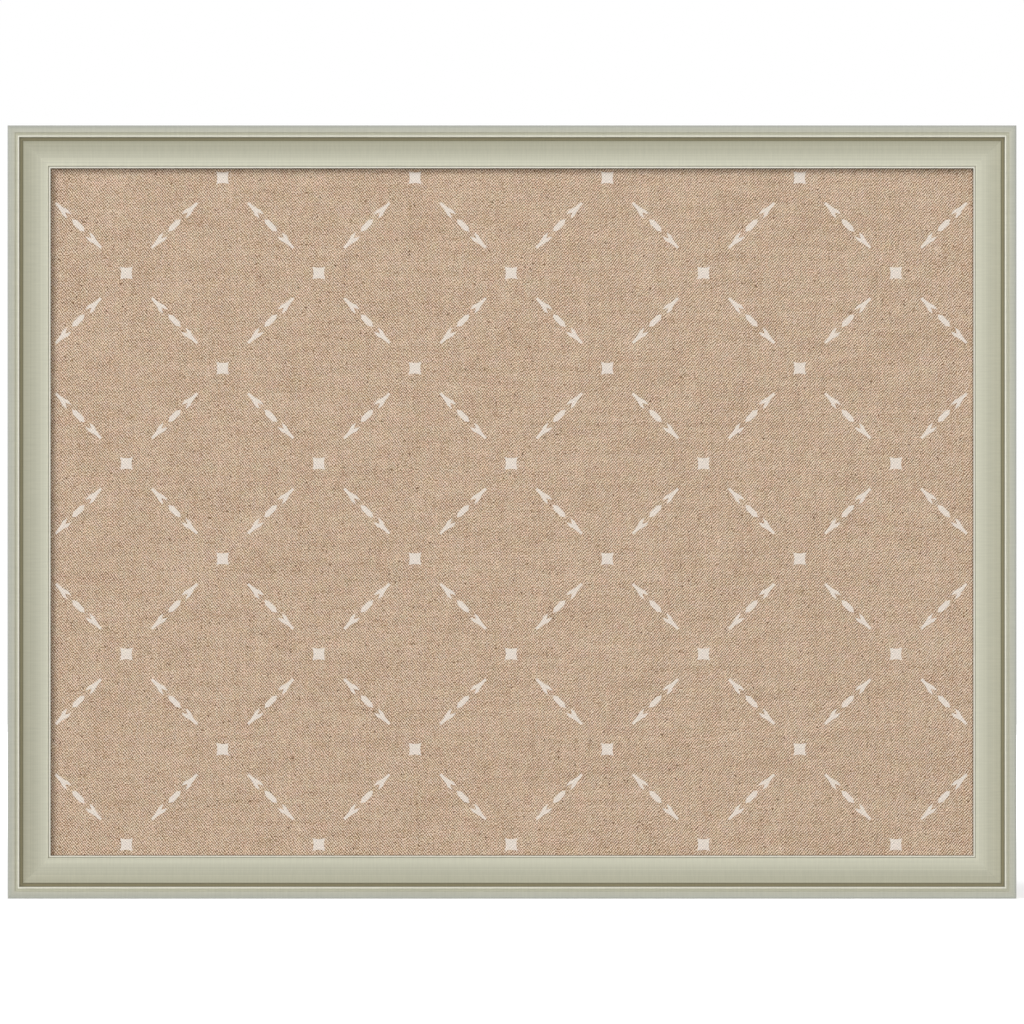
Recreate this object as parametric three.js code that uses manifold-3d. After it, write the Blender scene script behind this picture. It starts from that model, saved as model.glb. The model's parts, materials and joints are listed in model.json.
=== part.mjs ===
// A fabric-faced memo board in a mitred picture-frame moulding, ready to hang.
// Millimetres, +Z up. The board stands in the X-Z plane with its face towards -Y and the wall at y = 0,
// and the origin is the middle of the board on the wall.

import * as THREE from 'three';
import { mergeVertices } from 'three/addons/utils/BufferGeometryUtils.js';
import Module from 'manifold-3d';

// Panel: a 24 by 18 inch insert of fabric over cork over hardboard
const PANEL_WIDTH = 609.6;
const PANEL_HEIGHT = 457.2;
const FABRIC_THICKNESS = 0.8;
const CORK_THICKNESS = 5;
const BACKER_THICKNESS = 3.2;
const GLUE_LINE = 0.3;
const FABRIC_TURN_IN = 26;

// Moulding, seen in section: rabbet and lip
const MOULDING_WIDTH = 27.8;
const LIP_OVERLAP = 6.35;
const LIP_THICKNESS = 3.4;
const RABBET_PLAY = 0.8;
const PANEL_SETBACK = 1.8;
const PANEL_SEAT_GAP = 0.3;
const MITRE_GLUE_LINE = 0.03;

// Moulding, seen in section: the face, from the sight edge out
const LIP_BEAD_WIDTH = 1.1;
const LIP_BEAD_RISE = 0.55;
const LIP_BEAD_PROUD = 0.15;
const QUIRK_WIDTH = 0.7;
const QUIRK_DEPTH = 0.5;
const SCOOP_RISE = 3.2;
const SCOOP_TURN = 0.45;
const SCOOP_TOE = 0.2;
const GROOVE_WIDTH = 2.45;
const GROOVE_DEPTH = 0.9;
const GROOVE_DRAFT = 0.1;
const RIM_RISE = 2.75;
const ARRIS_WIDTH = 1.2;
const ARRIS_RISE = 0.5;
const HOLLOW_WIDTH = 1.8;
const HOLLOW_DEPTH = 0.5;
const RIM_WIDTH = 4.6;
const RIM_DROP = 0.3;
const RIM_ROUND = 1.6;
const BACK_EASE = 0.6;

// V-nails across the back of each mitre
const NAIL_FROM_EDGE = [5, 12];
const NAIL_WING = 5.5;
const NAIL_HALF_ANGLE = THREE.MathUtils.degToRad(55);
const NAIL_THICKNESS = 0.7;
const NAIL_DEPTH = 10;
const NAIL_SINK = 0.15;
const NAIL_CLEARANCE = 0.15;

// Framer's points that hold the panel in the rabbet
const POINTS_PER_RAIL = 4;
const POINTS_PER_STILE = 3;
const POINT_WIDTH = 10;
const POINT_TIP_WIDTH = 2;
const POINT_BITE = 8;
const POINT_REACH = 12;
const POINT_CORNER = 2.5;
const POINT_BARB = 1.1;
const POINT_THICKNESS = 0.6;
const POINT_PANEL_GAP = 0.2;
const POINT_CLEARANCE = 0.2;

// D-ring hangers on the stiles
const HANGER_HEIGHT = 110;
const STRAP_WIDTH = 10;
const STRAP_SHEET = 0.9;
const STRAP_SEAT_GAP = 0.15;
const STRAP_HOLE_DIAMETER = 4;
const SCREW_FROM_LOOP = 19;
const WIRE_DIAMETER = 2.3;
const LOOP_CLEARANCE = 0.2;
const RING_WIDTH = 18.3;
const RING_SIDE = 5;
const RING_CORNER = 2.5;

// Pan-head screws of the hangers
const SCREW_DIAMETER = 3;
const SCREW_LENGTH = 11;
const SCREW_TIP = 2.5;
const SCREW_HEAD_DIAMETER = 6.8;
const SCREW_HEAD_HEIGHT = 2.1;
const SCREW_HEAD_EDGE = 0.6;
const SCREW_SEAT_GAP = 0.1;
const SCREW_CLEARANCE = 0.2;
const DRIVE_LENGTH = 3.6;
const DRIVE_WIDTH = 0.8;
const DRIVE_DEPTH = 1.1;

// Rubber bumpers at the lower corners
const BUMPER_HEIGHT = 5;
const BUMPER_DIAMETER = 12;
const BUMPER_TOP_DIAMETER = 9.5;
const BUMPER_ROUND = 0.8;
const BUMPER_FROM_SIDE = 42;
const BUMPER_SEAT_GAP = 0.15;

// Facets of round forms
const CURVE_STEPS = 10;
const TURN_STEPS = 32;
const WIRE_SIDES = 12;
const BOW_STEPS = 24;
const MERGE_DISTANCE = 1e-4;

// Sizes that follow from those above
const PANEL_THICKNESS = 2 * FABRIC_THICKNESS + 3 * GLUE_LINE + CORK_THICKNESS + BACKER_THICKNESS;
const OUTER_WIDTH = PANEL_WIDTH + 2 * (MOULDING_WIDTH - LIP_OVERLAP);
const OUTER_HEIGHT = PANEL_HEIGHT + 2 * (MOULDING_WIDTH - LIP_OVERLAP);
const RABBET_WALL = MOULDING_WIDTH - LIP_OVERLAP - RABBET_PLAY;
const LEDGE = PANEL_SETBACK + PANEL_THICKNESS + PANEL_SEAT_GAP;
const LIP_TOP = LEDGE + LIP_THICKNESS;
const SCOOP_LOW = LIP_TOP - LIP_BEAD_PROUD;
const SCOOP_HIGH = SCOOP_LOW + SCOOP_RISE;
const MOULDING_DEPTH = SCOOP_HIGH + RIM_RISE;
const BACK_LAND_Y = -BUMPER_HEIGHT;
const LAND_MIDDLE = RABBET_WALL / 2;
const POINT_LOW = PANEL_SETBACK - POINT_PANEL_GAP - POINT_THICKNESS;
const LOOP_BORE = WIRE_DIAMETER / 2 + LOOP_CLEARANCE;
const LOOP_RADIUS = LOOP_BORE + STRAP_SHEET;
const STRAP_THICKNESS = 2 * STRAP_SHEET;
const SCREW_HEIGHT = HANGER_HEIGHT - SCREW_FROM_LOOP;

const PEWTER = { color: 0xb8b7a3, roughness: 0.42, metalness: 0.35 };
const LINEN = { color: 0xc0a890, roughness: 0.95, metalness: 0 };
const CORK = { color: 0xb08a5c, roughness: 0.95, metalness: 0 };
const HARDBOARD = { color: 0x6b4a30, roughness: 0.8, metalness: 0 };
const STEEL = { color: 0xb9bbbc, roughness: 0.35, metalness: 1 };
const RUBBER = { color: 0x2a2a2a, roughness: 0.8, metalness: 0 };

// A drawing laid flat on a back face: its x runs along the third axis, its y along the first,
// and its thickness along the second.
const LAID_FLAT = new THREE.Matrix4().makeBasis(
  new THREE.Vector3(0, 0, 1),
  new THREE.Vector3(1, 0, 0),
  new THREE.Vector3(0, 1, 0),
);

// A drawing seen from the side: its x runs along the second axis, its y along the third,
// and its thickness along the first.
const SEEN_FROM_SIDE = new THREE.Matrix4().makeBasis(
  new THREE.Vector3(0, 1, 0),
  new THREE.Vector3(0, 0, 1),
  new THREE.Vector3(1, 0, 0),
);

const wasm = await Module();
wasm.setup();

function solidOf(geometry) {
  const bare = geometry.clone();
  bare.deleteAttribute('normal');
  bare.deleteAttribute('uv');
  const merged = mergeVertices(bare, MERGE_DISTANCE);
  return new wasm.Manifold(
    new wasm.Mesh({
      numProp: 3,
      vertProperties: merged.attributes.position.array,
      triVerts: new Uint32Array(merged.index.array),
    }),
  );
}

function geometryOf(solid) {
  const { vertProperties, triVerts } = solid.getMesh();
  const geometry = new THREE.BufferGeometry();
  geometry.setAttribute('position', new THREE.BufferAttribute(vertProperties, 3));
  geometry.setIndex(new THREE.BufferAttribute(triVerts, 1));
  const faceted = geometry.toNonIndexed();
  faceted.computeVertexNormals();
  return faceted;
}

function cut(geometry, cutters) {
  const left = cutters.reduce((solid, cutter) => solid.subtract(solidOf(cutter)), solidOf(geometry));
  return geometryOf(left);
}

function extrude(shape, depth, curveSegments = CURVE_STEPS) {
  return new THREE.ExtrudeGeometry(shape, { depth, curveSegments, bevelEnabled: false });
}

function turned(profile) {
  const points = profile.map(([radius, height]) => new THREE.Vector2(radius, height));
  return new THREE.LatheGeometry(points, TURN_STEPS);
}

function boxBetween(low, high) {
  const box = new THREE.Box3(new THREE.Vector3(...low), new THREE.Vector3(...high));
  const size = box.getSize(new THREE.Vector3());
  const middle = box.getCenter(new THREE.Vector3());
  return new THREE.BoxGeometry(size.x, size.y, size.z).translate(middle.x, middle.y, middle.z);
}

function part(name, geometry, finish) {
  const mesh = new THREE.Mesh(geometry, new THREE.MeshStandardMaterial(finish));
  mesh.name = name;
  return mesh;
}

// The moulding's section: x is the distance in from the outer edge, y the height above the back land.
function mouldingSection() {
  const beadInner = MOULDING_WIDTH - LIP_BEAD_WIDTH;
  const scoopInner = beadInner - QUIRK_WIDTH;
  const hollowOuter = RIM_WIDTH;
  const arrisOuter = hollowOuter + HOLLOW_WIDTH;
  const grooveOuter = arrisOuter + ARRIS_WIDTH;
  const scoopOuter = grooveOuter + GROOVE_WIDTH;
  const beadBase = LIP_TOP - LIP_BEAD_RISE;
  const grooveFloor = SCOOP_HIGH - GROOVE_DEPTH;
  const arrisBase = MOULDING_DEPTH - ARRIS_RISE;
  const rimTop = MOULDING_DEPTH - RIM_DROP;
  const section = new THREE.Shape();
  section.moveTo(BACK_EASE, 0);
  section.lineTo(RABBET_WALL, 0);
  section.lineTo(RABBET_WALL, LEDGE);
  section.lineTo(MOULDING_WIDTH, LEDGE);
  section.absellipse(
    MOULDING_WIDTH - LIP_BEAD_WIDTH / 2, beadBase, LIP_BEAD_WIDTH / 2, LIP_BEAD_RISE, 0, Math.PI, false,
  );
  section.lineTo(beadInner - QUIRK_WIDTH / 2, SCOOP_LOW - QUIRK_DEPTH);
  section.lineTo(scoopInner, SCOOP_LOW);
  section.quadraticCurveTo(
    scoopOuter + SCOOP_TURN * (scoopInner - scoopOuter), SCOOP_LOW + SCOOP_TOE, scoopOuter, SCOOP_HIGH,
  );
  section.lineTo(scoopOuter - GROOVE_DRAFT, grooveFloor);
  section.lineTo(grooveOuter + GROOVE_DRAFT, grooveFloor);
  section.absellipse(
    arrisOuter + ARRIS_WIDTH / 2, arrisBase, ARRIS_WIDTH / 2, ARRIS_RISE, 0, Math.PI, false,
  );
  section.quadraticCurveTo(
    hollowOuter + HOLLOW_WIDTH / 2, rimTop - 2 * HOLLOW_DEPTH, hollowOuter, rimTop,
  );
  section.absarc(RIM_ROUND, rimTop - RIM_ROUND, RIM_ROUND, Math.PI / 2, Math.PI, false);
  section.lineTo(0, BACK_EASE);
  section.closePath();
  return section;
}

// A length of moulding along the third axis, with each end cut back at 45 degrees from the outer edge.
function mitredLength(length) {
  const geometry = extrude(mouldingSection(), 1);
  const { position } = geometry.attributes;
  const cutBack = MITRE_GLUE_LINE / Math.SQRT2;
  for (let i = 0; i < position.count; i += 1) {
    const half = length / 2 - cutBack - position.getX(i);
    position.setZ(i, position.getZ(i) > 0 ? half : -half);
  }
  return geometry;
}

// A V-nail or its kerf in the back of a rail, with its V along the mitre at the end that end names.
function vNail(length, fromEdge, end, grow) {
  const along = new THREE.Vector2(-end, 1).multiplyScalar(Math.SQRT1_2);
  const across = new THREE.Vector2(end, 1).multiplyScalar(Math.SQRT1_2);
  const apex = fromEdge * Math.SQRT2 - grow / Math.sin(NAIL_HALF_ANGLE);
  const wing = NAIL_WING + 2 * grow;
  const thickness = NAIL_THICKNESS + 2 * grow;
  const tip = [wing * Math.cos(NAIL_HALF_ANGLE), wing * Math.sin(NAIL_HALF_ANGLE)];
  const inside = [thickness * Math.sin(NAIL_HALF_ANGLE), -thickness * Math.cos(NAIL_HALF_ANGLE)];
  const corner = new THREE.Vector2((end * length) / 2, 0);
  const at = (u, v) => corner.clone().addScaledVector(along, apex + u).addScaledVector(across, v);
  const outline = new THREE.Shape([
    at(0, 0),
    at(tip[0], tip[1]),
    at(tip[0] + inside[0], tip[1] + inside[1]),
    at(thickness / Math.sin(NAIL_HALF_ANGLE), 0),
    at(tip[0] + inside[0], -tip[1] - inside[1]),
    at(tip[0], -tip[1]),
  ]);
  const nail = extrude(outline, NAIL_DEPTH + 2 * grow).translate(0, 0, NAIL_SINK - grow);
  return nail.applyMatrix4(LAID_FLAT);
}

// The kerf runs out through the back land, so that the nail can be pressed in.
function vNailKerf(length, fromEdge, end) {
  const kerf = vNail(length, fromEdge, end, NAIL_CLEARANCE);
  const mouth = kerf.clone().translate(0, -NAIL_DEPTH / 2, 0);
  return geometryOf(solidOf(kerf).add(solidOf(mouth)));
}

// Framer's points stand evenly along the panel's edge.
function pointPlaces(count, edge) {
  return Array.from({ length: count }, (_, i) => ((i + 0.5) / count - 0.5) * edge);
}

function framersPoint(place) {
  const half = POINT_WIDTH / 2;
  const tip = POINT_TIP_WIDTH / 2;
  const end = RABBET_WALL + POINT_REACH;
  const outline = new THREE.Shape();
  outline.moveTo(place - tip, RABBET_WALL - POINT_BITE);
  outline.lineTo(place + tip, RABBET_WALL - POINT_BITE);
  outline.lineTo(place + half - POINT_BARB, RABBET_WALL - POINT_BITE / 2);
  outline.lineTo(place + half - 2 * POINT_BARB, RABBET_WALL - POINT_BITE / 2);
  outline.lineTo(place + half, RABBET_WALL - POINT_BARB);
  outline.lineTo(place + half, end - POINT_CORNER);
  outline.quadraticCurveTo(place + half, end, place + half - POINT_CORNER, end);
  outline.lineTo(place - half + POINT_CORNER, end);
  outline.quadraticCurveTo(place - half, end, place - half, end - POINT_CORNER);
  outline.lineTo(place - half, RABBET_WALL - POINT_BARB);
  outline.lineTo(place - half + 2 * POINT_BARB, RABBET_WALL - POINT_BITE / 2);
  outline.lineTo(place - half + POINT_BARB, RABBET_WALL - POINT_BITE / 2);
  outline.closePath();
  const point = extrude(outline, POINT_THICKNESS, CURVE_STEPS / 2).translate(0, 0, POINT_LOW);
  return point.applyMatrix4(LAID_FLAT);
}

function pointSlit(place) {
  const half = POINT_WIDTH / 2 + POINT_CLEARANCE;
  return boxBetween(
    [RABBET_WALL - POINT_BITE - POINT_CLEARANCE, POINT_LOW - POINT_CLEARANCE, place - half],
    [MOULDING_WIDTH, POINT_LOW + POINT_THICKNESS + POINT_CLEARANCE, place + half],
  );
}

function pilotHole(place) {
  const radius = SCREW_DIAMETER / 2 + SCREW_CLEARANCE;
  const depth = SCREW_LENGTH + SCREW_CLEARANCE;
  const hole = new THREE.CylinderGeometry(radius, radius, 2 * depth, TURN_STEPS / 2);
  return hole.translate(LAND_MIDDLE, 0, place);
}

// One side of the frame, drawn as the bottom rail: in from the outer edge, forward from the back land,
// and along the rail. Its V-nails are those of the corner at the far end.
function frameSide({ name, corner, turn, length, reach, edge, points, screws }) {
  const places = pointPlaces(points, edge);
  const kerfs = NAIL_FROM_EDGE.flatMap((fromEdge) => [
    vNailKerf(length, fromEdge, -1),
    vNailKerf(length, fromEdge, 1),
  ]);
  const cutters = [...kerfs, ...places.map(pointSlit), ...screws.map(pilotHole)];
  const side = new THREE.Group();
  side.add(part(name, cut(mitredLength(length), cutters), PEWTER));
  places.forEach((place, i) => {
    side.add(part(`point_${name}_${i + 1}`, framersPoint(place), STEEL));
  });
  NAIL_FROM_EDGE.forEach((fromEdge, i) => {
    const which = i === 0 ? 'outer' : 'inner';
    side.add(part(`v_nail_${corner}_${which}`, vNail(length, fromEdge, 1, 0), STEEL));
  });
  side.quaternion.setFromRotationMatrix(
    new THREE.Matrix4().makeBasis(
      new THREE.Vector3(0, 0, 1),
      new THREE.Vector3(0, -1, 0),
      new THREE.Vector3(1, 0, 0),
    ),
  );
  side.position.set(0, BACK_LAND_Y, -reach);
  const place = new THREE.Group();
  place.rotation.y = turn;
  place.add(side);
  return place;
}

function frame() {
  const rail = {
    length: OUTER_WIDTH,
    reach: OUTER_HEIGHT / 2,
    edge: PANEL_WIDTH,
    points: POINTS_PER_RAIL,
    screws: [],
  };
  const stile = {
    length: OUTER_HEIGHT,
    reach: OUTER_WIDTH / 2,
    edge: PANEL_HEIGHT,
    points: POINTS_PER_STILE,
  };
  const sides = [
    { ...rail, name: 'bottom_rail', corner: 'bottom_right' },
    { ...stile, name: 'left_stile', corner: 'bottom_left', screws: [-SCREW_HEIGHT] },
    { ...rail, name: 'top_rail', corner: 'top_left' },
    { ...stile, name: 'right_stile', corner: 'top_right', screws: [SCREW_HEIGHT] },
  ];
  const group = new THREE.Group();
  sides.forEach((side, quarters) => {
    group.add(frameSide({ ...side, turn: (quarters * Math.PI) / 2 }));
  });
  return group;
}

// The panel's layers, front to back: fabric, cork, hardboard and the fabric's turn-in.
function panel() {
  const back = BACK_LAND_Y - PANEL_SETBACK;
  const front = back - PANEL_THICKNESS;
  const corkFront = front + FABRIC_THICKNESS + GLUE_LINE;
  const backerFront = corkFront + CORK_THICKNESS + GLUE_LINE;
  const layer = (inset, from, to) => {
    const x = PANEL_WIDTH / 2 - inset;
    const z = PANEL_HEIGHT / 2 - inset;
    return boxBetween([-x, from, -z], [x, to, z]);
  };
  const core = FABRIC_THICKNESS + GLUE_LINE;
  const cover = cut(layer(0, front, back), [
    layer(FABRIC_THICKNESS, front + FABRIC_THICKNESS, back - FABRIC_THICKNESS),
    layer(FABRIC_TURN_IN, back - 2 * FABRIC_THICKNESS, back + FABRIC_THICKNESS),
  ]);
  const group = new THREE.Group();
  group.add(part('fabric_cover', cover, LINEN));
  group.add(part('cork_sheet', layer(core, corkFront, corkFront + CORK_THICKNESS), CORK));
  group.add(part('backer_board', layer(core, backerFront, backerFront + BACKER_THICKNESS), HARDBOARD));
  return group;
}

// The hanger's strap: sheet folded round the ring's straight leg, with a round end about the screw hole.
function hangerStrap() {
  const length = SCREW_FROM_LOOP + STRAP_WIDTH / 2;
  const lift = STRAP_SEAT_GAP;
  const meet = Math.acos(STRAP_THICKNESS / LOOP_RADIUS - 1);
  const side = new THREE.Shape();
  side.moveTo(lift, -length);
  side.lineTo(lift + STRAP_THICKNESS, -length);
  side.absarc(lift + LOOP_RADIUS, 0, LOOP_RADIUS, -meet, Math.PI, false);
  side.closePath();
  const bore = new THREE.Path();
  bore.absarc(lift + LOOP_RADIUS, 0, LOOP_BORE, 0, 2 * Math.PI, true);
  side.holes.push(bore);
  const folded = extrude(side, STRAP_WIDTH, TURN_STEPS).translate(0, 0, -STRAP_WIDTH / 2);
  folded.applyMatrix4(SEEN_FROM_SIDE);
  const plan = new THREE.Shape();
  plan.moveTo(2 * LOOP_RADIUS, -STRAP_WIDTH / 2);
  plan.lineTo(2 * LOOP_RADIUS, STRAP_WIDTH / 2);
  plan.absarc(-SCREW_FROM_LOOP, 0, STRAP_WIDTH / 2, Math.PI / 2, (3 * Math.PI) / 2, false);
  plan.closePath();
  const hole = new THREE.Path();
  hole.absarc(-SCREW_FROM_LOOP, 0, STRAP_HOLE_DIAMETER / 2, 0, 2 * Math.PI, true);
  plan.holes.push(hole);
  const blank = extrude(plan, 4 * LOOP_RADIUS, TURN_STEPS / 2).translate(0, 0, -LOOP_RADIUS);
  blank.applyMatrix4(LAID_FLAT);
  return geometryOf(solidOf(folded).intersect(solidOf(blank)));
}

// A wire bent to a closed outline in the X-Z plane, at the height that level names.
function bentWire(outline, level) {
  const count = outline.length;
  const radius = WIRE_DIAMETER / 2;
  const positions = [];
  const index = [];
  outline.forEach((point, i) => {
    const next = (i + 1) % count;
    const before = outline[(i + count - 1) % count];
    const way = outline[next].clone().sub(before).normalize();
    for (let k = 0; k < WIRE_SIDES; k += 1) {
      const angle = (2 * Math.PI * (k + 0.5)) / WIRE_SIDES;
      const out = radius * Math.cos(angle);
      positions.push(point.x + out * way.y, level + radius * Math.sin(angle), point.y - out * way.x);
      const side = (k + 1) % WIRE_SIDES;
      const here = i * WIRE_SIDES;
      const there = next * WIRE_SIDES;
      index.push(here + k, there + side, there + k);
      index.push(here + k, here + side, there + side);
    }
  });
  const geometry = new THREE.BufferGeometry();
  geometry.setAttribute('position', new THREE.Float32BufferAttribute(positions, 3));
  geometry.setIndex(index);
  const faceted = geometry.toNonIndexed();
  faceted.computeVertexNormals();
  return faceted;
}

// The D-ring's centre line: a straight leg in the strap's loop, two bent corners, sides and a round bow.
function hangerRing() {
  const half = (RING_WIDTH - WIRE_DIAMETER) / 2;
  const line = new THREE.Path();
  line.absarc(half - RING_CORNER, RING_CORNER, RING_CORNER, -Math.PI / 2, 0, false);
  line.absarc(0, RING_SIDE, half, 0, Math.PI, false);
  line.absarc(-half + RING_CORNER, RING_CORNER, RING_CORNER, Math.PI, (3 * Math.PI) / 2, false);
  const steps = [BOW_STEPS / 4, BOW_STEPS, BOW_STEPS / 4];
  const arcs = line.curves.filter((curve) => curve.isEllipseCurve);
  const outline = arcs.flatMap((arc, i) => arc.getPoints(steps[i]));
  return bentWire(outline, STRAP_SEAT_GAP + LOOP_RADIUS);
}

function hangerScrew() {
  const shank = SCREW_DIAMETER / 2;
  const head = SCREW_HEAD_DIAMETER / 2;
  const seat = STRAP_SEAT_GAP + STRAP_THICKNESS + SCREW_SEAT_GAP;
  const dome = SCREW_HEAD_HEIGHT - SCREW_HEAD_EDGE;
  const profile = [
    [0, -SCREW_LENGTH],
    [shank, -SCREW_LENGTH + SCREW_TIP],
    [shank, seat],
    [head, seat],
  ];
  for (let i = 0; i <= CURVE_STEPS / 2; i += 1) {
    const angle = (Math.PI / 2) * (i / (CURVE_STEPS / 2));
    const radius = i === CURVE_STEPS / 2 ? 0 : head * Math.cos(angle);
    profile.push([radius, seat + SCREW_HEAD_EDGE + dome * Math.sin(angle)]);
  }
  const top = seat + SCREW_HEAD_HEIGHT;
  const slot = (x, z) => boxBetween([-x / 2, top - DRIVE_DEPTH, -z / 2], [x / 2, top + DRIVE_DEPTH, z / 2]);
  const geometry = cut(turned(profile), [slot(DRIVE_LENGTH, DRIVE_WIDTH), slot(DRIVE_WIDTH, DRIVE_LENGTH)]);
  return geometry.translate(0, 0, -SCREW_FROM_LOOP);
}

function hanger(side, sign) {
  const group = new THREE.Group();
  group.add(part(`${side}_hanger_strap`, hangerStrap(), STEEL));
  group.add(part(`${side}_hanger_ring`, hangerRing(), STEEL));
  group.add(part(`${side}_hanger_screw`, hangerScrew(), STEEL));
  group.position.set(sign * (OUTER_WIDTH / 2 - LAND_MIDDLE), BACK_LAND_Y, HANGER_HEIGHT);
  return group;
}

function bumper(side, sign) {
  const base = BUMPER_DIAMETER / 2;
  const top = BUMPER_TOP_DIAMETER / 2;
  const profile = [
    [0, BUMPER_SEAT_GAP],
    [base, BUMPER_SEAT_GAP],
    [top, BUMPER_HEIGHT - BUMPER_ROUND],
    [top - BUMPER_ROUND, BUMPER_HEIGHT],
    [0, BUMPER_HEIGHT],
  ];
  const mesh = part(`${side}_bumper`, turned(profile), RUBBER);
  const across = sign * (OUTER_WIDTH / 2 - BUMPER_FROM_SIDE);
  mesh.position.set(across, BACK_LAND_Y, LAND_MIDDLE - OUTER_HEIGHT / 2);
  return mesh;
}

const memoBoard = new THREE.Group();
memoBoard.name = 'memo_board';
memoBoard.add(frame(), panel());
[['left', -1], ['right', 1]].forEach(([side, sign]) => {
  memoBoard.add(hanger(side, sign), bumper(side, sign));
});

export default memoBoard;
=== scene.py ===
"""The looks of a framed memo board: printed linen in a mitred satin moulding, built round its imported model.

Metres, +Z up. The board stands in the X-Z plane with its face towards -Y and its back towards +Y.
"""

import json
import math

import bmesh
import bpy
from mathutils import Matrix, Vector


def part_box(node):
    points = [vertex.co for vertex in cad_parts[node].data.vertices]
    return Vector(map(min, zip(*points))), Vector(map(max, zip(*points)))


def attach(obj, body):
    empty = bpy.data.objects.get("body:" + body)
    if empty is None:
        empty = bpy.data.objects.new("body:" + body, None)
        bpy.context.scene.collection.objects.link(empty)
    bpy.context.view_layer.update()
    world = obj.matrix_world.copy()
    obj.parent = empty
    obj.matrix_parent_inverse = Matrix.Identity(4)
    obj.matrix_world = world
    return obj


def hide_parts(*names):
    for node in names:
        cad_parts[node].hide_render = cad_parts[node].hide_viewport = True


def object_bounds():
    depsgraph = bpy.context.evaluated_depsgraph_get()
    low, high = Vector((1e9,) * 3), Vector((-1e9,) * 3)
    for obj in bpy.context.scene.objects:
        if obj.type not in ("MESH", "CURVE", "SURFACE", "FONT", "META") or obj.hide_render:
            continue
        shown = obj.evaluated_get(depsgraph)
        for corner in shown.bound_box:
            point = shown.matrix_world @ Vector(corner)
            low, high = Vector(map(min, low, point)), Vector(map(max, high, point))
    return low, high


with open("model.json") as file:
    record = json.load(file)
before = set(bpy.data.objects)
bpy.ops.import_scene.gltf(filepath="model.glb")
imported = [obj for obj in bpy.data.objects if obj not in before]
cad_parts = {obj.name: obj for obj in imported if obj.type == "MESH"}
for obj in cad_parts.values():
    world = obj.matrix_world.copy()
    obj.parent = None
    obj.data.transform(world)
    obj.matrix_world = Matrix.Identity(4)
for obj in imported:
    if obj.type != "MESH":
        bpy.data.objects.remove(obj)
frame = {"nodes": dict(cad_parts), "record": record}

SOLID_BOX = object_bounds()
MM = 0.001

# The photograph's framing: the width that it covers at the board's face, seen from far off
VIEW_WIDTH = 662.5 * MM
LENS = 600.0
SENSOR = 36.0
FACE = -22 * MM

# Moulding: zones of its face, by their distance in from the outer edge
MOULDING_WIDTH = 27.8 * MM
SIGHT_HALF = (SOLID_BOX[1].x - MOULDING_WIDTH, SOLID_BOX[1].z - MOULDING_WIDTH)
RIM_WIDTH = 4.6 * MM
RIM_CROWN = 0.4
HOLLOW_WIDTH = 1.8 * MM
ARRIS_WIDTH = 1.2 * MM
GROOVE_WIDTH = 2.45 * MM
QUIRK_WIDTH = 0.7 * MM
LIP_BEAD_WIDTH = 1.1 * MM
ZONE_EDGE = 0.25 * MM
LIP_EDGE_WIDTH = 0.15 * MM

# Moulding: streaks and ticks in its lacquer, and the raw wood behind
STREAK_WIDTH = 1.2 * MM
STREAK_LENGTH = 1500 * MM
STREAK_DETAIL = 1.0
STREAK_SHADE = 0.18
STREAK_DEPTH = 0.004 * MM
TICK_WIDTH = 14 * MM
TICK_LENGTH = 1.1 * MM
TICK_SHADE = 0.08
LACQUER_METAL = 0.7
LACQUER_ROUGHNESS = 0.45
STREAK_ROUGHNESS = 0.05
WOOD_ROUGHNESS = 0.3
BACK_EASE = 0.6 * MM
GRAIN_WIDTH = 1.3 * MM
GRAIN_LENGTH = 60 * MM
GRAIN_DETAIL = 4.0
GRAIN_EDGES = (-0.5, 0.6)
SEAM_WIDTH = 0.25 * MM
SEAM_SHADE = 0.5
SIDE_APART = 10.0

# Linen: its cut and folds
CLOTH_THICKNESS = 0.8 * MM
TURN_IN = 26 * MM
EDGE_ROUND = 1.2 * MM
CORNER_ROUND = 2.0 * MM
ROUND_STEPS = 5
FRONT_ROWS = (5 * MM, 3 * MM)
WAVE_START = 19 * MM
FLAP_ROWS = (4 * MM, 9 * MM, 14 * MM, WAVE_START, 23 * MM, 25.2 * MM, TURN_IN)
NEAR_CORNER = [step * MM for step in (0, 0.35, 0.8, 1.4, 2, 4, 7, 11, 15, 19, 23)]
POINT_SPACING = 5 * MM
FOLD_RISE = 0.7 * MM
FOLD_REACH = 19 * MM
FOLD_FADE = 7 * MM
CREASE_WIDTH = 1.2 * MM
CREASE_FLOOR = 0.15
CUT_WAVE = 0.5 * MM
CUT_WAVE_LENGTHS = (69 * MM, 27 * MM)

# Linen: where the flat cloth lies on its bake map, as a scale and a centre
OUTSIDE_ON_MAP = (1.45, (0.5, 0.395))
INSIDE_ON_MAP = (0.32, (0.5, 0.89))

# Linen: thread spacing, how far threads wander, in threads, and the sizes of slubs, flecks and patches
FINE_PITCH = 0.825 * MM
THICK_PITCH = 1.41 * MM
WEFT_PITCH = 1.02 * MM
WANDER = 6 * MM
FINE_WANDER = 0.8
THICK_WANDER = 0.5
WEFT_WANDER = 0.8
SLUB_LENGTH = 7 * MM
FLECK_LENGTH = 4.5 * MM
FLECK_EDGES = (0.3, 0.6)
SPECK_SHARE = 0.002
THREAD_STEP = 3.17
FIBRE = 0.8 * MM
FIBRE_DETAIL = 0.0
TINT_PATCH = 8 * MM
TINT_DETAIL = 4.0
CLOUD = 25 * MM
CLOUD_DETAIL = 3.0
BAND_HEIGHT = 4.5 * MM
BAND_LENGTH = 60 * MM

# Linen: the strength of the weave's diagonals; the fine pair change over from the left half to the right
FINE_MINOR = 0.225
FINE_MAJOR = 0.405
THICK_MINOR = 0.095
THICK_MAJOR = 0.18
LEAN_REACH = 90 * MM
GRIP_LEAST = 0.1
GRIP_SPREAD = 1.8
WEAVE_DEPTH = 0.08 * MM

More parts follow.
